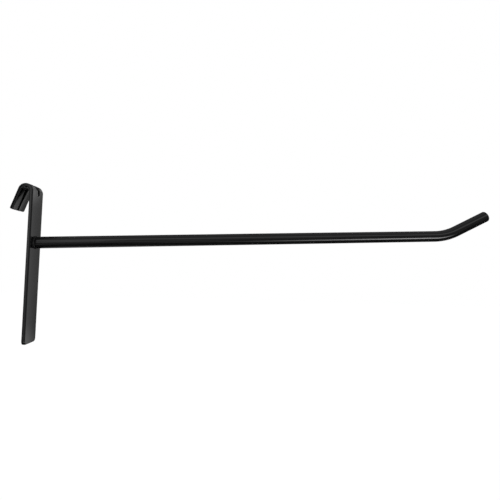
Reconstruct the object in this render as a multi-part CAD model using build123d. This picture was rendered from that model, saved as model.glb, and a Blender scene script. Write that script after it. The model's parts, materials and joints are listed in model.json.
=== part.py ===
"""Gridwall hook: a flat steel strip, bent over at the top to hang on a grid wire, and a welded wire arm.

Frame: the origin is the centre of the strip's bend, on the middle of its width. +X points out along the arm,
+Y runs across the strip and +Z is up. Millimetres and degrees.
"""
from build123d import *
import os
from math import cos, radians, sin

# Back strip
STRIP_WIDTH = 12.7
STRIP_THICKNESS = 2.0
STRIP_DROP = 81.0          # from the bend's centre down to the foot
FRONT_EDGE_ROUND = 0.6     # edges on the arm's side
BACK_EDGE_ROUND = 0.4      # edges on the grid's side
FOOT_CORNER = 2.0          # rounded corners of the foot

# Bend and leg that hang on the grid wire
SEAT_RADIUS = 2.0          # inside of the bend
LEG_LENGTH = 11.75         # straight part, from the bend to the leg's end
LEG_FLARE = 19.5           # lean of the leg away from the strip
LEG_END_ROUND = 0.3        # edge break of the leg's end

# Rib pressed along the bend: a groove outside, a low ridge inside
RIB_WIDTH = 4.0
GROOVE_DEPTH = 0.8
RIDGE_HEIGHT = 0.5
RIB_RUN = 0.4              # from the bend down to the centre of the rib's round end
RIB_BLEND = 0.4            # rounding where the rib meets the flat of the strip

# Wire arm
WIRE_DIAMETER = 6.35
REACH = 254.0              # from the strip's face to the middle of the tip, along X
ARM_DROP = 27.1            # from the bend's centre down to the arm's axis at the strip's face
ARM_RISE = 3.2             # slope of the arm
UPTURN_ANGLE = 24.6        # bend near the tip, on top of the arm's slope
UPTURN_RADIUS = 31.5       # on the wire's axis
UPTURN_LENGTH = 20.4       # straight part, from the bend to the tip
TIP_ROUND = 0.8            # rounded rim of the tip

# Weld bead round the arm's end
WELD_LENGTH = 0.6          # along the arm
WELD_FOOT = 0.35           # out over the strip's face

# Places that follow from the sizes above
FACE_X = SEAT_RADIUS + STRIP_THICKNESS
BEND_ANGLE = 180.0 - LEG_FLARE
BEND_AXIS = Axis((0, 0, 0), (0, -1, 0))
WIRE_RADIUS = WIRE_DIAMETER / 2
ARM_START = Vector(FACE_X, 0, -ARM_DROP)
ARM_DIRECTION = Vector(cos(radians(ARM_RISE)), 0, sin(radians(ARM_RISE)))
NEAR = 0.05                # how close an edge or corner lies to the place it is looked for


def over_bend(section):
    """Sweeps a section of the strip from the top of the back over the bend."""
    return revolve(section, BEND_AXIS, BEND_ANGLE)


def onto_leg(shape):
    """Carries what stands on the start of the bend to the end of the bend."""
    return shape.rotate(BEND_AXIS, BEND_ANGLE)


def upright(x):
    """The plane across the arm's way at this X, facing out."""
    return Plane(origin=(x, 0, 0), z_dir=(1, 0, 0))


def arc_radius(width, height):
    """Radius of the arc with this chord and rise."""
    return (width * width / 4 + height * height) / (2 * height)


def groove_circle():
    """Centre distance from the bend's axis and radius of the tool that presses the groove."""
    radius = arc_radius(RIB_WIDTH, GROOVE_DEPTH)
    return FACE_X + radius - GROOVE_DEPTH, radius


def ridge_circle():
    """Centre distance from the bend's axis and radius of the ridge's crown."""
    radius = arc_radius(RIB_WIDTH, RIDGE_HEIGHT)
    return SEAT_RADIUS + radius - RIDGE_HEIGHT, radius


def ridge_root():
    """Distance from the bend's axis to the middle of the metal left under the groove."""
    return SEAT_RADIUS + (STRIP_THICKNESS - GROOVE_DEPTH) / 2


def ribbed_section():
    """Section of the strip with the rib, on the plane where the bend starts."""
    groove_x, groove_radius = groove_circle()
    ridge_x, ridge_radius = ridge_circle()
    flat = Rectangle(STRIP_THICKNESS, STRIP_WIDTH)
    flat = fillet(flat.vertices().group_by(Axis.X)[-1], FRONT_EDGE_ROUND)
    flat = fillet(flat.vertices().group_by(Axis.X)[0], BACK_EDGE_ROUND)
    section = Pos(SEAT_RADIUS + STRIP_THICKNESS / 2) * flat
    inner_half = Rectangle(2 * ridge_radius, 2 * ridge_radius, align=(Align.MAX, Align.CENTER))
    section += Pos(ridge_x) * Circle(ridge_radius) & Pos(ridge_root()) * inner_half
    section -= Pos(groove_x) * Circle(groove_radius)
    near_rib = section.vertices().filter_by(lambda corner: abs(abs(corner.Y) - RIB_WIDTH / 2) < NEAR)
    return fillet(near_rib, RIB_BLEND)


def back_run():
    """The flat back, from the bend down to the foot, with the round end of the rib."""
    plate = Box(STRIP_THICKNESS, STRIP_WIDTH, STRIP_DROP, align=(Align.MIN, Align.CENTER, Align.MAX))
    plate = Pos(SEAT_RADIUS, 0, 0) * plate
    plate = fillet(plate.edges().filter_by(Axis.X).group_by(Axis.Z)[0], FOOT_CORNER)
    plate = fillet(rim_below_bend(plate.faces().sort_by(Axis.X)[-1]), FRONT_EDGE_ROUND)
    plate = fillet(rim_below_bend(plate.faces().sort_by(Axis.X)[0]), BACK_EDGE_ROUND)

    ridge = split(round_end(*ridge_circle()), upright(ridge_root()), keep=Keep.BOTTOM)
    plate = plate + ridge - round_end(*groove_circle())
    return fillet(plate.edges().filter_by(on_rib_rim), RIB_BLEND)


def rim_below_bend(face):
    """The edges of a face of the back, without the one where the bend starts."""
    return face.edges().filter_by_position(Axis.Z, -STRIP_DROP - NEAR, -NEAR)


def round_end(centre_x, radius):
    """The lower half of a rod that ends in a ball, from the bend down to the rib's round end."""
    rod = extrude(Pos(centre_x) * Circle(radius), -RIB_RUN)
    rod += Pos(centre_x, 0, -RIB_RUN) * Sphere(radius)
    return split(rod, Plane.XY, keep=Keep.BOTTOM)


def on_rib_rim(edge):
    """Whether an edge is where the rib meets a face of the back."""
    middle = edge.position_at(0.5)
    on_face = min(abs(middle.X - FACE_X), abs(middle.X - SEAT_RADIUS)) < NEAR
    near_rib = abs(middle.Y) < RIB_WIDTH and -RIB_RUN - RIB_WIDTH < middle.Z < -NEAR
    return on_face and near_rib


def back_strip():
    """The bent strip: back, bend and leg."""
    section = ribbed_section()
    leg = extrude(section, LEG_LENGTH)
    leg = fillet(leg.faces().sort_by(Axis.Z)[-1].edges(), LEG_END_ROUND)
    return back_run() + over_bend(section) + onto_leg(leg)


def arm_straight_length():
    """Length of the arm from the strip's face to its bend, for the reach asked."""
    rise = radians(ARM_RISE)
    turned = radians(ARM_RISE + UPTURN_ANGLE)
    bend_reach = UPTURN_RADIUS * (sin(turned) - sin(rise))
    return (REACH - bend_reach - UPTURN_LENGTH * cos(turned)) / cos(rise)


def in_front_of_strip(shape):
    """Keeps what lies in front of the strip's face."""
    return split(shape, upright(FACE_X), keep=Keep.TOP)


def hook_arm():
    """The wire arm, cut flush with the strip's face, with its upturned tip."""
    straight = PolarLine((FACE_X, -ARM_DROP), arm_straight_length(), ARM_RISE)
    upturn = JernArc(straight @ 1, straight % 1, UPTURN_RADIUS, UPTURN_ANGLE)
    tip = PolarLine(upturn @ 1, UPTURN_LENGTH, ARM_RISE + UPTURN_ANGLE)
    path = Plane.XZ * (straight + upturn + tip)
    cut = Plane(origin=ARM_START, z_dir=ARM_DIRECTION)
    wire = sweep(cut * Circle(WIRE_RADIUS), path)
    wire += extrude(cut * Circle(WIRE_RADIUS), -WIRE_RADIUS)
    wire = fillet(wire.faces().sort_by(Axis.X)[-1].edges(), TIP_ROUND)
    return in_front_of_strip(wire)


def weld_bead():
    """The ring of weld between the arm and the strip's face."""
    profile_plane = Plane(origin=ARM_START, x_dir=ARM_DIRECTION, z_dir=(0, 1, 0))
    crown = Pos(0, WIRE_RADIUS) * Ellipse(WELD_LENGTH, WELD_FOOT)
    crown &= Pos(0, WIRE_RADIUS) * Rectangle(WELD_LENGTH, WELD_FOOT, align=(Align.MIN, Align.MIN))
    root = Pos(0, WIRE_RADIUS) * Rectangle(WELD_FOOT, WELD_FOOT, align=(Align.MAX, Align.MIN))
    ring = revolve(profile_plane * (crown + root), Axis(ARM_START, ARM_DIRECTION))
    return in_front_of_strip(ring)


PIECES = {"back_strip": back_strip, "hook_arm": hook_arm, "weld_bead": weld_bead}

os.makedirs("parts", exist_ok=True)
for name, make in PIECES.items():
    export_step(make(), f"parts/{name}.step")
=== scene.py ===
"""Visible pieces of a painted gridwall hook, laid out as an add-on: strip, arm, weld bead and stage.

Metres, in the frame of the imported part: the origin is the centre of the strip's bend, +X runs out along
the arm, +Y across the strip and +Z up.
"""
import json
from math import atan2, cos, hypot, pi, radians, sin, sqrt, tan
from typing import NamedTuple

import bpy
from bpy.props import FloatProperty, FloatVectorProperty, IntProperty, PointerProperty
from mathutils import Matrix, Vector, noise


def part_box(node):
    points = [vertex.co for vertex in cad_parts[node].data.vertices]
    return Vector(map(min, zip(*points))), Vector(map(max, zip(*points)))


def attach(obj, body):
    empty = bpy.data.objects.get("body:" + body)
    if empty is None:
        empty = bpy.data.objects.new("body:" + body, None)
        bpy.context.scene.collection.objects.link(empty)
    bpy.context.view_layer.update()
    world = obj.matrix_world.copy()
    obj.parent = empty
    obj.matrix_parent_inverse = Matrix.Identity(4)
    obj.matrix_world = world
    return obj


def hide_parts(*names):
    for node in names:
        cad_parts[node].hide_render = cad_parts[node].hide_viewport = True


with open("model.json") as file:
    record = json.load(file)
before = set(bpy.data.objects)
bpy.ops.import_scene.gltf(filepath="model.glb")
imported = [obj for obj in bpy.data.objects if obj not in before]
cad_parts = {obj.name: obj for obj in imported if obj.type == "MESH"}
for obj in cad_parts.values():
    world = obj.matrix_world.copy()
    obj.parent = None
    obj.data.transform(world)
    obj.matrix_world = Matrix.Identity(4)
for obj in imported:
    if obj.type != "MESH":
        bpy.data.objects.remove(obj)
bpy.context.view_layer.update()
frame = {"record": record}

bl_info = {
    "name": "Gridwall hook",
    "version": (1, 0, 0),
    "blender": (4, 5, 0),
    "location": "3D View > Sidebar > Hook",
    "description": "Builds the painted strip, arm and weld of a gridwall hook on its packed frame",
    "category": "Object",
}

MM = 0.001
BODY = "root"

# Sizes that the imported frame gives
MOUNTS = {mount["name"]: mount for mount in frame["record"]["mounts"]}
STRIP_LOW, STRIP_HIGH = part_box("back_strip")
FACE_X = STRIP_HIGH.x                                  # face of the strip, where the arm starts
SEAT_RADIUS = MOUNTS["lower_wire_rest"]["pos_m"][0]    # the strip's back, which runs into the bend's inside
STRIP_THICKNESS = FACE_X - SEAT_RADIUS
WIRE_RADIUS = MOUNTS["arm_tip"]["dims"]["r_mm"] * MM
TIP_WALL = MOUNTS["arm_tip"]["dims"]["length_mm"] * MM
TIP_MIDDLE = Vector(MOUNTS["arm_tip"]["pos_m"])
TIP_AXIS = Vector(MOUNTS["arm_tip"]["axis"])


# Settings

class HOOK_PG_strip(bpy.types.PropertyGroup):
    """Sizes of the bent strip."""

    width: FloatProperty(
        name="Width", description="Across the strip", default=STRIP_HIGH.y - STRIP_LOW.y, unit="LENGTH")
    thickness: FloatProperty(
        name="Thickness", description="Of the flat steel", default=STRIP_THICKNESS, unit="LENGTH")
    drop: FloatProperty(
        name="Drop", description="From the bend's centre down to the foot",
        default=-STRIP_LOW.z, unit="LENGTH")
    edge_round: FloatProperty(
        name="Edge round", description="Rounding of the long edges and the foot",
        default=0.6 * MM, unit="LENGTH")
    back_round: FloatProperty(
        name="Back round", description="Edge break on the side of the grid wire",
        default=0.4 * MM, unit="LENGTH")
    edge_lean: FloatProperty(
        name="Edge lean", description="Lean of the sheared long edges towards the outer face",
        default=radians(1.2), subtype="ANGLE")
    foot_corner: FloatProperty(
        name="Foot corner", description="Radius of the foot's two corners", default=2.0 * MM, unit="LENGTH")
    seat_radius: FloatProperty(
        name="Seat radius", description="Inside of the bend", default=SEAT_RADIUS, unit="LENGTH")
    leg_length: FloatProperty(
        name="Leg length", description="From the bend to the leg's end", default=11.75 * MM, unit="LENGTH")
    leg_flare: FloatProperty(
        name="Leg flare", description="Lean of the leg away from the strip",
        default=radians(19.5), subtype="ANGLE")
    leg_end_round: FloatProperty(
        name="Leg end round", description="Edge break of the leg's end", default=0.3 * MM, unit="LENGTH")
    leg_corner: FloatProperty(
        name="Leg corner", description="Radius of the leg's two corners", default=0.7 * MM, unit="LENGTH")
    rib_width: FloatProperty(
        name="Rib width", description="Of the rib pressed along the bend", default=4.0 * MM, unit="LENGTH")
    groove_depth: FloatProperty(
        name="Groove depth", description="Of the rib, outside", default=0.8 * MM, unit="LENGTH")
    ridge_height: FloatProperty(
        name="Ridge height", description="Of the rib, inside", default=0.5 * MM, unit="LENGTH")
    rib_run: FloatProperty(
        name="Rib run", description="From the bend down to the centre of the rib's round end",
        default=0.4 * MM, unit="LENGTH")
    rib_blend: FloatProperty(
        name="Rib blend", description="Softness of the rib's rim", default=0.12 * MM, unit="LENGTH")
    waviness: FloatProperty(
        name="Waviness", description="Slow swell of the rolled flat", default=0.02 * MM, unit="LENGTH")
    crown: FloatProperty(
        name="Crown", description="Rise of each face's middle over its long edges",
        default=0.1 * MM, unit="LENGTH")


class HOOK_PG_arm(bpy.types.PropertyGroup):
    """Sizes of the wire arm."""

    wire_radius: FloatProperty(
        name="Wire radius", description="Of the drawn wire", default=WIRE_RADIUS, unit="LENGTH")
    rise: FloatProperty(
        name="Rise", description="Slope of the arm", default=radians(3.2), subtype="ANGLE")
    upturn_radius: FloatProperty(
        name="Upturn radius", description="Of the bend near the tip, on the wire's axis",
        default=31.5 * MM, unit="LENGTH")
    tip_round: FloatProperty(
        name="Tip round", description="Rounded rim of the tip", default=0.8 * MM, unit="LENGTH")


class HOOK_PG_weld(bpy.types.PropertyGroup):
    """Sizes of the weld bead."""

    length: FloatProperty(
        name="Length", description="Along the arm", default=0.6 * MM, unit="LENGTH")
    foot: FloatProperty(
        name="Foot", description="Out over the strip's face", default=0.35 * MM, unit="LENGTH")
    ripples: IntProperty(
        name="Ripples", description="Number of ripples, once round the arm", default=17, min=3)
    ripple_height: FloatProperty(
        name="Ripple height", description="Of one ripple", default=0.03 * MM, unit="LENGTH")
    unevenness: FloatProperty(
        name="Unevenness", description="Share by which the bead swells and shrinks",
        default=0.12, min=0, max=0.5)


class HOOK_PG_enamel(bpy.types.PropertyGroup):
    """Look of the black enamel."""

    colour: FloatVectorProperty(
        name="Colour", description="Of the enamel", size=3, subtype="COLOR", min=0, max=1,
        default=(0.0033, 0.0033, 0.0035))
    thin_colour: FloatVectorProperty(
        name="Thin colour", description="Where the enamel draws thin over an edge", size=3, subtype="COLOR",
        min=0, max=1, default=(0.007, 0.007, 0.0073))
    gloss_low: FloatProperty(
        name="Roughness, smooth", description="Where the enamel flowed out well",
        default=0.09, min=0, max=1)
    gloss_high: FloatProperty(
        name="Roughness, dull", description="Where the enamel dried dull",
        default=0.16, min=0, max=1)
    peel_size: FloatProperty(
        name="Peel size", description="Of the dimples in the enamel", default=0.6 * MM, unit="LENGTH")
    peel_depth: FloatProperty(
        name="Peel depth", description="Of the dimples in the enamel", default=0.0015 * MM, unit="LENGTH")


class HOOK_PG_stage(bpy.types.PropertyGroup):
    """Floor, light and camera."""

    floor_colour: FloatVectorProperty(
        name="Floor colour", description="Of the plain floor", size=3, subtype="COLOR", min=0, max=1,
        default=(0.95, 0.95, 0.95))
    floor_drop: FloatProperty(
        name="Floor drop", description="From the bend's centre down to the floor",
        default=0.6, unit="LENGTH")
    fill: FloatProperty(
        name="Fill", description="Strength of the even light from all round", default=0.5, min=0)
    key: FloatProperty(
        name="Key", description="Strength of the wide soft light overhead", default=2.1, min=0)
    camera_place: FloatVectorProperty(
        name="Camera", description="Place of the camera", size=3, subtype="TRANSLATION", unit="LENGTH",
        default=(103.30 * MM, -224.08 * MM, -34.46 * MM))
    camera_turn: FloatVectorProperty(
        name="Camera turn", description="Yaw, pitch and roll from looking along +Y",
        size=3, subtype="EULER", default=(0.0739, 0.0347, 0.0358))
    lens: FloatProperty(
        name="Lens", description="Focal length on a 36 mm frame", default=28.887, min=1, unit="CAMERA")


# Shared by the pieces

def spread(start, end, steps):
    """Evenly spaced values from start to end, both included."""
    return [start + (end - start) * step / steps for step in range(steps + 1)]


def once_round(steps):
    """Evenly spaced turns of a full circle, without the last, which is the first again."""
    return [2 * pi * step / steps for step in range(steps)]


def soft_max(first, second, blend):
    """The larger value, rounded off where the two are closer than blend."""
    near = max(blend - abs(first - second), 0) / blend
    return max(first, second) + near * near * blend / 4


def new_piece(name, points, faces, material, node, edge=None):
    """A smooth mesh that stands for a CAD node and rides with its body."""
    mesh = bpy.data.meshes.new(name)
    mesh.from_pydata(points, [], faces)
    mesh.validate()
    mesh.shade_smooth()
    if edge:
        mesh.attributes.new("edge", "FLOAT", "POINT").data.foreach_set("value", edge)
    mesh.materials.append(material)
    piece = bpy.data.objects.new(name, mesh)
    bpy.context.scene.collection.objects.link(piece)
    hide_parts(node)
    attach(piece, BODY)


# Bent strip

FOOT_CORNER_STEPS = 8
LEG_CORNER_STEPS = 4
EDGE_ROUND_STEPS = 5
BEND_STEPS = 72
BACK_STEP = 0.8 * MM       # between rows on the plain back
RIB_STEP = 0.12 * MM       # between rows at the rib's round end
LEG_STEP = 0.3 * MM        # between rows on the leg
RIB_COLUMNS = 16           # steps across the rib, from its middle to just outside it
FLAT_COLUMNS = 10          # steps from there to the long edge
RIB_REACH = 0.7            # how far from its middle the rib's steps end, as a share of its width
FLAT_HOLD = 0.06 * MM      # from the last step of a flat to the rounding, so that the flat shades flat
WAVE_LENGTH = 22.0 * MM    # of the rolled flat's slow swell
EDGE_FADE = 0.7 * MM       # how far in from the edges the enamel runs thin


def bend_angle(sizes):
    """Turn of the strip from its back to its leg."""
    return pi - sizes.leg_flare


def bend_run(sizes):
    """Length of the bend on the middle of the steel."""
    return bend_angle(sizes) * (sizes.seat_radius + sizes.thickness / 2)


def strip_length(sizes):
    """Length of the strip from the foot to the leg's end."""
    return sizes.drop + bend_run(sizes) + sizes.leg_length


def on_strip(sizes, along, across, out):
    """A point of the strip: along it from the foot, across its width, and out from its inner face."""
    turned = min(max((along - sizes.drop) / bend_run(sizes), 0), 1) * bend_angle(sizes)
    run_on = min(along - sizes.drop, 0) + max(along - sizes.drop - bend_run(sizes), 0)
    radius = sizes.seat_radius + out
    x = radius * cos(turned) - run_on * sin(turned)
    z = radius * sin(turned) + run_on * cos(turned)
    return x, across, z


def rib_profile(sizes, along, across, height):
    """Depth of the rib at a place on the flat strip, as the segment of a circle with a soft rim."""
    past_end = max(sizes.drop - sizes.rib_run - along, 0)
    away = hypot(across, past_end)
    radius = (sizes.rib_width ** 2 / 4 + height ** 2) / (2 * height)
    if away >= radius:
        return 0.0
    return soft_max(sqrt(radius ** 2 - away ** 2) - radius + height, 0, sizes.rib_blend)


def swell(sizes, along, across):
    """Slow unevenness of the rolled flat."""
    return sizes.waviness * noise.noise(Vector((along / WAVE_LENGTH, across / WAVE_LENGTH, 0)))


def sunk(sizes, across):
    """How far a crowned face lies below its middle."""
    return sizes.crown * (2 * across / sizes.width) ** 2


def outer_face(sizes, along, across):
    """Height of the face on the arm's side, with the groove."""
    return sizes.thickness - sunk(sizes, across) - rib_profile(sizes, along, across, sizes.groove_depth)


def inner_face(sizes, along, across):
    """Height of the face on the side of the grid wire, with the ridge."""
    return sunk(sizes, across) - rib_profile(sizes, along, across, sizes.ridge_height)


def thinned(sizes, along, across, half):
    """How thin the enamel runs at a place on a face: 1 at an edge and 0 well inside it."""
    reach = min(half - abs(across), along, strip_length(sizes) - along)
    return max(1 - reach / EDGE_FADE, 0)


def strip_rows(sizes):
    """Rows of the faces, from the foot to the leg's end: place along, half width, outward direction."""
    inset = sizes.edge_round
    half = sizes.width / 2 - inset
    foot_radius = sizes.foot_corner - inset
    leg_radius = sizes.leg_corner - sizes.leg_end_round
    end = strip_length(sizes) - sizes.leg_end_round
    rows = []
    for angle in spread(0, pi / 2, FOOT_CORNER_STEPS):
        along = inset + foot_radius * (1 - cos(angle))
        rows.append((along, half - foot_radius * (1 - sin(angle)), (-cos(angle), sin(angle))))
    rib_start = sizes.drop - sizes.rib_run - sizes.rib_width
    bend_end = sizes.drop + bend_run(sizes)
    marks = [inset + foot_radius, rib_start, sizes.drop, bend_end, end - leg_radius]
    steps = [BACK_STEP, RIB_STEP, bend_run(sizes) / BEND_STEPS, LEG_STEP]
    for start, stop, step in zip(marks, marks[1:], steps):
        for along in spread(start, stop, round((stop - start) / step))[1:]:
            rows.append((along, half, (0, 1)))
    for angle in spread(0, pi / 2, LEG_CORNER_STEPS)[1:]:
        along = end - leg_radius * (1 - sin(angle))
        rows.append((along, half - leg_radius * (1 - cos(angle)), (sin(angle), cos(angle))))
    return rows


def strip_columns(sizes):
    """Places across the strip as shares of its half width, closer together on the rib."""
    half = sizes.width / 2 - sizes.edge_round
    rib_edge = RIB_REACH * sizes.rib_width / half
    outer = spread(rib_edge, 1 - FLAT_HOLD / half, FLAT_COLUMNS)
    inner = spread(0, rib_edge, RIB_COLUMNS)
    right = inner + outer[1:] + [1]
    return [-share for share in reversed(right[1:])] + right


def rim_places(rows, wide):
    """Places once round the outline of the faces: row, column and outward direction."""
    last = len(rows) - 1
    foot = [(0, column, (-1, 0)) for column in range(wide)]
    right = [(row, wide - 1, rows[row][2]) for row in range(1, last)]
    leg = [(last, column, (1, 0)) for column in reversed(range(wide))]
    left = [(row, 0, (rows[row][2][0], -rows[row][2][1])) for row in reversed(range(1, last))]
    return foot + right + leg + left


def edge_section(sizes, radius, high, low):
    """Section of the rim from the outer face to the inner one: steps outwards and heights."""
    small = sizes.back_round
    section = []
    for angle in spread(0, pi / 2, EDGE_ROUND_STEPS)[1:]:
        section.append((radius * sin(angle), high - radius * (1 - cos(angle))))
    section.append((radius, high - radius - FLAT_HOLD))
    section.append((radius, low + small + FLAT_HOLD))
    for angle in reversed(spread(0, pi / 2, EDGE_ROUND_STEPS)):
        section.append((radius - small * (1 - sin(angle)), low + small * (1 - cos(angle))))
    return [(step - tan(sizes.edge_lean) * (out - low), out) for step, out in section]


def back_strip_mesh(sizes):
    """Points, faces and edge shares of the bent strip: two faces and the rounded rim that joins them."""
    rows = strip_rows(sizes)
    columns = strip_columns(sizes)
    wide = len(columns)
    points, faces, edge = [], [], []

    def add(along, across, out, share):
        points.append(on_strip(sizes, along, across, out + swell(sizes, along, across)))
        edge.append(share)
        return len(points) - 1

    for face in (outer_face, inner_face):
        for along, half, _ in rows:
            for share in columns:
                across = share * half
                add(along, across, face(sizes, along, across), thinned(sizes, along, across, half))
    count = len(rows) * wide
    for row in range(len(rows) - 1):
        for column in range(wide - 1):
            corner = row * wide + column
            quad = (corner, corner + 1, corner + 1 + wide, corner + wide)
            faces.append(quad)
            faces.append(tuple(count + point for point in reversed(quad)))

    loops = []
    for row, column, (out_along, out_across) in rim_places(rows, wide):
        along, half, _ = rows[row]
        across = columns[column] * half
        high, low = outer_face(sizes, along, across), inner_face(sizes, along, across)
        leg_share = abs(out_along) if along > sizes.drop else 0
        radius = sizes.edge_round + (sizes.leg_end_round - sizes.edge_round) * leg_share
        loop = [row * wide + column]
        for step, out in edge_section(sizes, radius, high, low):
            loop.append(add(along + out_along * step, across + out_across * step, out, 1))
        loop.append(count + row * wide + column)
        loops.append(loop)
    for loop, after in zip(loops, loops[1:] + loops[:1]):
        for k in range(len(loop) - 1):
            faces.append((loop[k], loop[k + 1], after[k + 1], after[k]))
    return points, faces, edge


# Wire arm

AROUND = 72                # points round the wire
ARM_STEP = 1.5 * MM        # between rings on the straight runs
UPTURN_STEPS = 24
TIP_ROUND_STEPS = 10
CAP_RINGS = 4              # steps from the rim to the middle of the tip's flat end
ACROSS = Vector((0, 1, 0))


def tip_turn():
    """Slope of the upturned tip."""
    return atan2(TIP_AXIS.z, TIP_AXIS.x)


def upturn_end():
    """Where the bend near the tip ends, on the wire's axis."""
    return TIP_MIDDLE - TIP_AXIS * TIP_WALL / 2


def slope(angle):
    """Direction in the XZ plane at an angle above +X."""
    return Vector((cos(angle), 0, sin(angle)))


def upturn_centre(sizes):
    """Centre of the bend near the tip."""
    return upturn_end() + slope(tip_turn() + pi / 2) * sizes.upturn_radius


def upturn_start(sizes):
    """Where the bend near the tip starts, on the wire's axis."""
    return upturn_centre(sizes) - slope(sizes.rise + pi / 2) * sizes.upturn_radius


def arm_start(sizes):
    """Where the wire's axis meets the strip's face."""
    start = upturn_start(sizes)
    run = (start.x - FACE_X) / cos(sizes.rise)
    return start - slope(sizes.rise) * run


def outward(turn, rise):
    """Direction out from the wire's axis, at a turn from +Y towards the wire's rise."""
    return cos(turn) * ACROSS + sin(turn) * rise


def to_face(point, direction):
    """Distance from a point to the strip's face, along a direction."""
    return (FACE_X - point.x) / direction.x


def arm_stations(sizes):
    """Centres, slopes and radii of the rings along the arm, from the strip's face to the tip's flat end."""
    radius = sizes.wire_radius
    first, bend = arm_start(sizes), upturn_start(sizes)
    stations = []
    for share in spread(0, 1, round((bend - first).length / ARM_STEP)):
        stations.append((first.lerp(bend, share), sizes.rise, radius))
    for angle in spread(sizes.rise, tip_turn(), UPTURN_STEPS)[1:]:
        stations.append((upturn_centre(sizes) - slope(angle + pi / 2) * sizes.upturn_radius, angle, radius))
    for run in spread(0, TIP_WALL, round(TIP_WALL / ARM_STEP))[1:]:
        stations.append((upturn_end() + TIP_AXIS * run, tip_turn(), radius))
    for angle in spread(0, pi / 2, TIP_ROUND_STEPS)[1:]:
        centre = upturn_end() + TIP_AXIS * (TIP_WALL + sizes.tip_round * sin(angle))
        stations.append((centre, tip_turn(), radius - sizes.tip_round * (1 - cos(angle))))
    flat = radius - sizes.tip_round
    for step in range(CAP_RINGS - 1, 0, -1):
        stations.append((stations[-1][0], tip_turn(), flat * step / CAP_RINGS))
    return stations


def wire_ring(centre, angle, radius):
    """Points round the wire, starting at +Y."""
    rise = slope(angle + pi / 2)
    return [centre + radius * outward(turn, rise) for turn in once_round(AROUND)]


def hook_arm_mesh(sizes):
    """Points, faces and edge shares of the wire arm, cut flush with the strip's face."""
    stations = arm_stations(sizes)
    direction = slope(sizes.rise)
    points, edge = [], []
    for index, (centre, angle, radius) in enumerate(stations):
        loop = wire_ring(centre, angle, radius)
        if index == 0:
            loop = [point + direction * to_face(point, direction) for point in loop]
        points += loop
        on_tip_round = sizes.wire_radius > radius > sizes.wire_radius - sizes.tip_round
        edge += [float(on_tip_round)] * AROUND
    faces = []
    for row in range(len(stations) - 1):
        for step in range(AROUND):
            a, b = row * AROUND + step, row * AROUND + (step + 1) % AROUND
            faces.append((a, b, b + AROUND, a + AROUND))
    points += [arm_start(sizes), stations[-1][0]]
    edge += [0.0, 0.0]
    root, tip = len(points) - 2, len(points) - 1
    top = (len(stations) - 1) * AROUND
    for step in range(AROUND):
        after = (step + 1) % AROUND
        faces.append((after, step, root))
        faces.append((top + step, top + after, tip))
    return points, faces, edge


# Weld bead

WELD_AROUND = 192          # sections round the arm
CROWN_STEPS = 10
ROOT_DEPTH = 0.12 * MM     # how far the bead reaches into the strip and the wire
ROOT_SHARE = 0.9           # where the hidden root starts, as a share of the bead's length and foot
SWELL_PATH = 1.3           # radius of the circle on which the noise of the swell is read
SWELL_LEVEL = 0.4          # height of that circle
SWELL_GAIN = 1.6           # brings that noise up to about 1
FOOT_SHIFT = 0.6           # turn by which the foot's swell runs ahead of the length's
WANDER_PATH = 2.0          # radius of the circle for the spacing of the ripples
WANDER_LEVEL = 5.0         # height of that circle
WANDER = 0.9               # how far a ripple strays from even spacing, in ripples
RIPPLE_RISE = 0.7          # exponent of a ripple's slow rise
RIPPLE_DROP = 6            # exponent of its quick drop
RIPPLE_MEAN = 0.4          # about its mean height, taken off so that the bead keeps its size


def round_noise(turn, path, level):
    """Smooth noise that joins up once round the arm."""
    return noise.noise(Vector((path * cos(turn), path * sin(turn), level)))


def weld_share(sizes, turn):
    """How far the bead swells at a place round the arm."""
    return 1 + sizes.unevenness * round_noise(turn, SWELL_PATH, SWELL_LEVEL) * SWELL_GAIN


def weld_ripple(sizes, turn):
    """Height of the ripples: each one rises slowly and drops off quickly."""
    wander = WANDER * round_noise(turn, WANDER_PATH, WANDER_LEVEL)
    phase = (sizes.ripples * turn / (2 * pi) + wander) % 1.0
    return sizes.ripple_height * (phase ** RIPPLE_RISE * (1 - phase ** RIPPLE_DROP) - RIPPLE_MEAN)


def weld_section(sizes, turn):
    """Section of the bead at a place round the arm: runs along the arm and heights over the wire."""
    length = sizes.length * weld_share(sizes, turn)
    foot = sizes.foot * weld_share(sizes, turn + FOOT_SHIFT)
    ripple = weld_ripple(sizes, turn)
    section = []
    for angle in spread(0, pi / 2, CROWN_STEPS):
        bulge = ripple * sin(2 * angle)
        section.append(((length + bulge) * cos(angle), (foot + bulge) * sin(angle)))
    section.append((-ROOT_DEPTH, foot * ROOT_SHARE))
    section.append((-ROOT_DEPTH, -ROOT_DEPTH))
    section.append((length * ROOT_SHARE, -ROOT_DEPTH))
    return section


def weld_bead_mesh(sizes, arm):
    """Points and faces of the ring of weld between the arm and the strip's face."""
    start, direction = arm_start(arm), slope(arm.rise)
    rise = slope(arm.rise + pi / 2)
    points, faces = [], []
    for turn in once_round(WELD_AROUND):
        for run, out in weld_section(sizes, turn):
            base = start + outward(turn, rise) * (arm.wire_radius + out)
            points.append(base + direction * (to_face(base, direction) + run))
    tall = len(points) // WELD_AROUND
    for step in range(WELD_AROUND):
        this, after = step * tall, (step + 1) % WELD_AROUND * tall
        for k in range(tall):
            n = (k + 1) % tall
            faces.append((this + k, this + n, after + n, after + k))
    return points, faces


# Enamel

PATCH_SIZE = 9 * MM        # of the glossier and duller patches
PATCH_LOW = 0.3            # noise at which a patch is glossiest
PATCH_HIGH = 0.7           # noise at which a patch is dullest
PATCH_DETAIL = 3.0
PEEL_DETAIL = 2.0
GRAIN_DETAIL = 3.0
ENAMEL_IOR = 1.5


class Coat(NamedTuple):
    """How the enamel lies on one piece."""

    grain: tuple           # of the steel below, per metre along X, Y and Z
    grain_depth: float
    peel_share: float      # of the enamel's peel depth
    dulling: float         # added to the enamel's roughness


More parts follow.
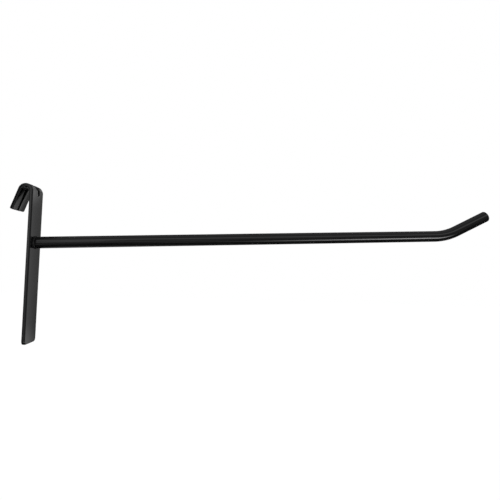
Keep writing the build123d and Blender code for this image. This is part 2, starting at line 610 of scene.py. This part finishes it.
COATS = {
    "enamel_on_strip": Coat((900, 900, 40), 0.0005 * MM, 1.0, 0.0),
    "enamel_on_wire": Coat((8, 500, 500), 0.0005 * MM, 0.1, 0.02),
    "enamel_on_weld": Coat((2500, 2500, 2500), 0.004 * MM, 2.0, 0.45),
}


def add_node(tree, kind, inputs=None, **settings):
    """A node with its settings, and its inputs set to values or linked to other sockets."""
    made = tree.nodes.new(kind)
    for name, value in settings.items():
        setattr(made, name, value)
    for name, value in (inputs or {}).items():
        socket = made.inputs[name]
        if isinstance(value, bpy.types.NodeSocket):
            tree.links.new(value, socket)
        else:
            socket.default_value = value
    return made


def bare_material(name):
    """A material whose node tree is still empty."""
    material = bpy.data.materials.new(name)
    material.use_nodes = True
    material.node_tree.nodes.clear()
    return material


def noise_at(tree, place, scale, detail):
    """Noise between 0 and 1, read at a place."""
    made = add_node(tree, "ShaderNodeTexNoise", {"Vector": place, "Scale": scale, "Detail": detail})
    return made.outputs["Fac"]


def enamel(name, look):
    """Semi-gloss black enamel over steel, with dimples, a grain of the steel below and thin edges."""
    coat = COATS[name]
    material = bare_material(name)
    tree = material.node_tree
    place = add_node(tree, "ShaderNodeTexCoord").outputs["Object"]
    patches = noise_at(tree, place, 1 / PATCH_SIZE, PATCH_DETAIL)
    peel = noise_at(tree, place, 1 / look.peel_size, PEEL_DETAIL)
    stretched = add_node(tree, "ShaderNodeMapping", {"Vector": place, "Scale": coat.grain})
    grain = noise_at(tree, stretched.outputs["Vector"], 1.0, GRAIN_DETAIL)
    edge = add_node(tree, "ShaderNodeAttribute", attribute_name="edge").outputs["Fac"]

    gloss = add_node(tree, "ShaderNodeMapRange", {
        "Value": patches, "From Min": PATCH_LOW, "From Max": PATCH_HIGH,
        "To Min": look.gloss_low + coat.dulling, "To Max": look.gloss_high + coat.dulling})
    thin = add_node(tree, "ShaderNodeMath", {0: edge, 1: grain}, operation="MULTIPLY")
    colour = add_node(tree, "ShaderNodeMix", {
        "Factor": thin.outputs[0], "A": (*look.colour, 1), "B": (*look.thin_colour, 1)}, data_type="RGBA")
    grain_bump = add_node(tree, "ShaderNodeBump", {
        "Height": grain, "Strength": 1.0, "Distance": coat.grain_depth})
    peel_bump = add_node(tree, "ShaderNodeBump", {
        "Height": peel, "Strength": 1.0, "Distance": coat.peel_share * look.peel_depth,
        "Normal": grain_bump.outputs["Normal"]})
    shader = add_node(tree, "ShaderNodeBsdfPrincipled", {
        "Base Color": colour.outputs["Result"], "Roughness": gloss.outputs["Result"],
        "Normal": peel_bump.outputs["Normal"], "IOR": ENAMEL_IOR})
    output = add_node(tree, "ShaderNodeOutputMaterial", {"Surface": shader.outputs["BSDF"]})
    output.is_active_output = True
    return material


# Stage

WHITE = (1, 1, 1, 1)
BACKGROUND_RAYS = ("Is Camera Ray", "Is Glossy Ray", "Is Transmission Ray")
FLOOR_SIZE = 12.0
FLOOR_GLOW = 0.6           # share of the floor that shows as plain white, so that shadows stay faint
KEY_PLACE = Vector((-0.1, -0.45, 0.9))
KEY_WIDTH = radians(80)    # angle over which the overhead light spreads
FRAME_WIDTH = 36.0         # of the camera, in millimetres
CLIP_START = 0.01


class Card(NamedTuple):
    """A studio card that only reflections see."""

    place: tuple
    facing: tuple          # the point that it faces
    width: float
    height: float
    brightness: float
    side_fade: float = 0.0    # share of each half width that fades out
    end_fade: float = 0.0     # share of each half height that fades out


CARDS = {
    "back_flag": Card((0.0, 1.30, 0.3), (0.0, 0.0, 0.3), 6.0, 2.4, 0.06),
    "back_card": Card((-0.2, 1.25, 0.1), (-0.2, 0.0, 0.1), 1.6, 0.7, 0.27, 0.4, 0.3),
    "back_right_card": Card((1.0, 1.22, -0.05), (1.0, 0.0, -0.05), 1.4, 0.7, 0.75, 0.86, 0.3),
    "bend_card": Card((0.25, 1.21, 0.62), (0.25, 0.0, 0.62), 0.9, 0.6, 0.5, 0.5, 0.5),
    "back_top_card": Card((1.0, 1.20, 0.55), (1.0, 0.0, 0.55), 1.4, 0.84, 1.7, 0.86, 0.2),
    "back_low_card": Card((1.0, 1.20, -0.66), (1.0, 0.0, -0.66), 1.4, 0.8, 1.5, 0.86, 0.25),
    "right_flag": Card((1.6, 0.0, 0.3), (0.0, 0.0, 0.3), 3.0, 2.4, 0.06),
    "right_card": Card((1.55, -0.25, 0.0), (0.0, -0.25, 0.0), 0.9, 1.6, 0.5, 0.8, 0.4),
    "left_flag": Card((-1.6, 0.0, 0.3), (0.0, 0.0, 0.3), 3.0, 2.4, 0.08),
    "left_card": Card((-1.55, 0.25, 0.25), (0.0, 0.25, 0.25), 0.9, 2.3, 0.9, 0.8, 0.5),
    "front_flag": Card((0.0, -1.3, 0.3), (0.0, 0.0, 0.3), 6.0, 2.4, 0.18),
    "front_card": Card((0.2, -1.15, 0.42), (0.2, 0.0, 0.42), 1.0, 0.7, 0.42, 0.5, 0.4),
    "front_left_flag": Card((-1.0, -1.2, 0.2), (-1.0, 0.0, 0.2), 0.86, 2.2, 0.02, 0.05, 0.1),
    "front_left_card": Card((-0.325, -0.935, 0.15), (0.003, 0.0, -0.02), 0.23, 1.0, 0.9, 0.3, 0.7),
    "front_top_card": Card((0.2, -1.0, 0.70), (0.2, 0.0, -0.02), 4.4, 0.76, 0.85, 0.3, 0.8),
    "front_low_card": Card((-0.12, -0.95, -0.28), (-0.12, 0.0, -0.28), 0.6, 0.6, 0.4, 0.5, 0.6),
    "streak_card": Card((0.56, -0.45, -0.395), (0.72, 0.0, -0.017), 0.92, 0.28, 9.0, 1.0, 0.9),
    "streak_left_card": Card((0.15, -0.45, -0.42), (0.15, 0.0, -0.02), 0.5, 0.26, 0.38, 0.6, 0.7),
    "top_flag": Card((0.0, 0.0, 1.2), (0.0, 0.0, 0.0), 4.0, 3.0, 0.05),
    "top_card": Card((0.42, -0.1, 1.1), (0.42, -0.1, 0.0), 2.66, 1.8, 0.32, 0.34, 0.5),
    "low_flag": Card((0.0, 0.0, -0.55), (0.0, 0.0, 0.0), 4.0, 3.0, 0.03),
    "low_card": Card((-0.3, 0.6, -0.54), (-0.3, 0.6, 0.0), 1.0, 1.2, 0.4, 0.6, 0.6),
    "low_front_card": Card((-0.42, -0.68, -0.54), (-0.42, -0.68, 0.0), 0.6, 0.8, 0.35, 0.9, 0.5),
    "low_left_card": Card((-1.1, 0.0, -0.53), (-1.1, 0.0, 0.0), 1.0, 2.0, 0.6, 0.8, 0.4),
}


def aim(place, target):
    """Placement of a lamp or card that faces from place to target."""
    turn = (target - place).to_track_quat("-Z", "Y")
    return Matrix.Translation(place) @ turn.to_matrix().to_4x4()


def sees(tree, *rays):
    """1 for these kinds of ray and 0 for the rest."""
    path = add_node(tree, "ShaderNodeLightPath")
    total = path.outputs[rays[0]]
    for ray in rays[1:]:
        either = add_node(tree, "ShaderNodeMath", {0: total, 1: path.outputs[ray]}, operation="MAXIMUM")
        total = either.outputs[0]
    return total


def white_world(stage):
    """Even light from all round, in front of a white background."""
    world = bpy.data.worlds.new("studio")
    bpy.context.scene.world = world
    world.use_nodes = True
    tree = world.node_tree
    tree.nodes.clear()
    light = add_node(tree, "ShaderNodeBackground", {"Color": WHITE, "Strength": stage.fill})
    white = add_node(tree, "ShaderNodeBackground", {"Color": WHITE, "Strength": 1.0})
    mix = add_node(tree, "ShaderNodeMixShader", {
        0: sees(tree, *BACKGROUND_RAYS), 1: light.outputs[0], 2: white.outputs[0]})
    add_node(tree, "ShaderNodeOutputWorld", {"Surface": mix.outputs[0]})


def floor_paint(stage):
    """Pale matt floor that shows white round the object's shadow."""
    material = bare_material("pale_floor")
    tree = material.node_tree
    matt = add_node(tree, "ShaderNodeBsdfDiffuse", {"Color": (*stage.floor_colour, 1)})
    white = add_node(tree, "ShaderNodeEmission", {"Color": WHITE, "Strength": 1.0})
    seen = sees(tree, *BACKGROUND_RAYS)
    glow = add_node(tree, "ShaderNodeMath", {0: seen, 1: FLOOR_GLOW}, operation="MULTIPLY")
    mix = add_node(tree, "ShaderNodeMixShader", {
        0: glow.outputs[0], 1: matt.outputs[0], 2: white.outputs[0]})
    add_node(tree, "ShaderNodeOutputMaterial", {"Surface": mix.outputs[0]})
    return material


def flat_sheet(name, width, height, matrix, material):
    """A flat stage sheet, centred on its placement."""
    x, y = width / 2, height / 2
    mesh = bpy.data.meshes.new(name)
    mesh.from_pydata([(-x, -y, 0), (x, -y, 0), (x, y, 0), (-x, y, 0)], [], [(0, 1, 2, 3)])
    mesh.materials.append(material)
    sheet = bpy.data.objects.new(name, mesh)
    sheet.matrix_world = matrix
    bpy.context.scene.collection.objects.link(sheet)
    return sheet


def faded(tree, surface, card):
    """The surface of a card, clear at its sides and ends."""
    spot = add_node(tree, "ShaderNodeTexCoord").outputs["Object"]
    axes = add_node(tree, "ShaderNodeSeparateXYZ", {"Vector": spot})
    shares = []
    for axis, half, fade in (("X", card.width / 2, card.side_fade), ("Y", card.height / 2, card.end_fade)):
        away = add_node(tree, "ShaderNodeMath", {0: axes.outputs[axis]}, operation="ABSOLUTE")
        share = add_node(tree, "ShaderNodeMapRange", {
            "Value": away.outputs[0], "From Min": half * (1 - fade), "From Max": half,
            "To Min": 1.0, "To Max": 0.0}, interpolation_type="SMOOTHSTEP")
        shares.append(share.outputs["Result"])
    cover = add_node(tree, "ShaderNodeMath", {0: shares[0], 1: shares[1]}, operation="MULTIPLY")
    clear = add_node(tree, "ShaderNodeBsdfTransparent")
    mix = add_node(tree, "ShaderNodeMixShader", {0: cover.outputs[0], 1: clear.outputs[0], 2: surface})
    return mix.outputs[0]


def studio_card(name, card):
    """Hang a card that only reflections see."""
    material = bare_material(name)
    tree = material.node_tree
    surface = add_node(tree, "ShaderNodeEmission", {"Color": WHITE, "Strength": card.brightness}).outputs[0]
    if card.side_fade:
        surface = faded(tree, surface, card)
    add_node(tree, "ShaderNodeOutputMaterial", {"Surface": surface})
    matrix = aim(Vector(card.place), Vector(card.facing))
    sheet = flat_sheet(name, card.width, card.height, matrix, material)
    sheet.visible_camera = False
    sheet.visible_diffuse = False
    sheet.visible_shadow = False
    sheet.visible_transmission = False


def key_light(stage):
    """Wide soft light from overhead, a little in front."""
    light = bpy.data.lights.new("key_light", "SUN")
    light.energy = stage.key
    light.angle = KEY_WIDTH
    lamp = bpy.data.objects.new("key_light", light)
    lamp.matrix_world = aim(KEY_PLACE, Vector((0, 0, 0)))
    lamp.visible_glossy = False
    bpy.context.scene.collection.objects.link(lamp)


def photo_camera(stage):
    """Camera at the photograph's viewing angle."""
    yaw, pitch, roll = stage.camera_turn
    forward = Vector((sin(yaw) * cos(pitch), cos(yaw) * cos(pitch), sin(pitch)))
    right = Vector((cos(yaw), -sin(yaw), 0))
    up = right.cross(forward)
    axes = (cos(roll) * right + sin(roll) * up, cos(roll) * up - sin(roll) * right, -forward)
    data = bpy.data.cameras.new("photo_camera")
    data.sensor_width = FRAME_WIDTH
    data.lens = stage.lens
    data.clip_start = CLIP_START
    camera = bpy.data.objects.new("photo_camera", data)
    turn = Matrix(axes).transposed().to_4x4()
    camera.matrix_world = Matrix.Translation(Vector(stage.camera_place)) @ turn
    bpy.context.scene.collection.objects.link(camera)
    bpy.context.scene.camera = camera


# Add-on

class HOOK_OT_back_strip(bpy.types.Operator):
    """Build the strip, bent over a grid wire at the top, with its pressed rib"""

    bl_idname = "hook.back_strip"
    bl_label = "Bent strip"

    def execute(self, context):
        paint = enamel("enamel_on_strip", context.scene.hook_enamel)
        points, faces, edge = back_strip_mesh(context.scene.hook_strip)
        new_piece("painted_strip", points, faces, paint, "back_strip", edge)
        return {"FINISHED"}


class HOOK_OT_hook_arm(bpy.types.Operator):
    """Build the wire arm with its upturned tip"""

    bl_idname = "hook.hook_arm"
    bl_label = "Wire arm"

    def execute(self, context):
        paint = enamel("enamel_on_wire", context.scene.hook_enamel)
        points, faces, edge = hook_arm_mesh(context.scene.hook_arm)
        new_piece("painted_arm", points, faces, paint, "hook_arm", edge)
        return {"FINISHED"}


class HOOK_OT_weld_bead(bpy.types.Operator):
    """Build the rippled weld between the arm and the strip"""

    bl_idname = "hook.weld_bead"
    bl_label = "Weld bead"

    def execute(self, context):
        paint = enamel("enamel_on_weld", context.scene.hook_enamel)
        points, faces = weld_bead_mesh(context.scene.hook_weld, context.scene.hook_arm)
        new_piece("painted_weld", points, faces, paint, "weld_bead")
        return {"FINISHED"}


class HOOK_OT_stage(bpy.types.Operator):
    """Set up the floor, the soft light, the studio cards and the camera"""

    bl_idname = "hook.stage"
    bl_label = "Stage"

    def execute(self, context):
        stage = context.scene.hook_stage
        context.scene.view_settings.view_transform = "Standard"
        white_world(stage)
        floor_place = Matrix.Translation((0, 0, -stage.floor_drop))
        flat_sheet("floor", FLOOR_SIZE, FLOOR_SIZE, floor_place, floor_paint(stage))
        key_light(stage)
        for name, card in CARDS.items():
            studio_card(name, card)
        photo_camera(stage)
        return {"FINISHED"}


class HOOK_PT_pieces(bpy.types.Panel):
    """Buttons and sizes of the hook's pieces"""

    bl_idname = "HOOK_PT_pieces"
    bl_label = "Gridwall hook"
    bl_space_type = "VIEW_3D"
    bl_region_type = "UI"
    bl_category = "Hook"

    def draw(self, context):
        for operator in OPERATORS:
            self.layout.operator(operator.bl_idname)
        for name in GROUPS:
            group = getattr(context.scene, name)
            box = self.layout.box()
            for key in group.__annotations__:
                box.prop(group, key)


GROUPS = {
    "hook_strip": HOOK_PG_strip,
    "hook_arm": HOOK_PG_arm,
    "hook_weld": HOOK_PG_weld,
    "hook_enamel": HOOK_PG_enamel,
    "hook_stage": HOOK_PG_stage,
}
OPERATORS = (HOOK_OT_back_strip, HOOK_OT_hook_arm, HOOK_OT_weld_bead, HOOK_OT_stage)


def register():
    """Register the classes and hang the settings on the scene."""
    for cls in (*GROUPS.values(), *OPERATORS, HOOK_PT_pieces):
        bpy.utils.register_class(cls)
    for name, group in GROUPS.items():
        setattr(bpy.types.Scene, name, PointerProperty(type=group))


def unregister():
    """Take the settings off the scene and unregister the classes."""
    for name in GROUPS:
        delattr(bpy.types.Scene, name)
    for cls in reversed((*GROUPS.values(), *OPERATORS, HOOK_PT_pieces)):
        bpy.utils.unregister_class(cls)


def main():
    register()
    bpy.ops.hook.back_strip()
    bpy.ops.hook.hook_arm()
    bpy.ops.hook.weld_bead()
    bpy.ops.hook.stage()


if __name__ == "__main__":
    main()
